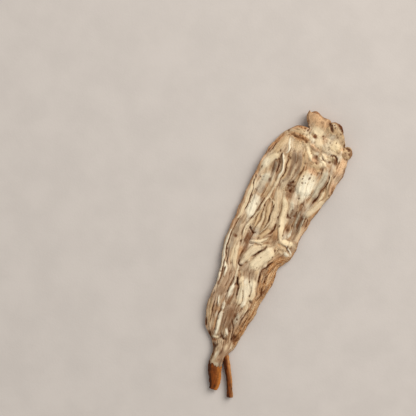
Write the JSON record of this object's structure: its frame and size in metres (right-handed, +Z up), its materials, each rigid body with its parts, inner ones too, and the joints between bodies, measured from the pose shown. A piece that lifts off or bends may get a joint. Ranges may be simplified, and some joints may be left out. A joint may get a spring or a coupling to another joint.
{
  "type": "angelica root",
  "caption": "Dried, pressed slice of angelica root, cut lengthwise, with knobbly crown, raised strands and brown rootlets at the tail.",
  "frame": {"origin": "under the middle of the slice's outline, on the surface that it lies on", "axes": "+Y along the slice towards the crown, +X to the right of the cut face, +Z up out of the cut face"},
  "size_m": [0.0414, 0.1489, 0.0086],
  "materials": {
    "dried_root": "dry, matt, fibrous"
  },
  "bodies": {
    "root": {"root_slice": "dried_root"}
  },
  "joints": []
}
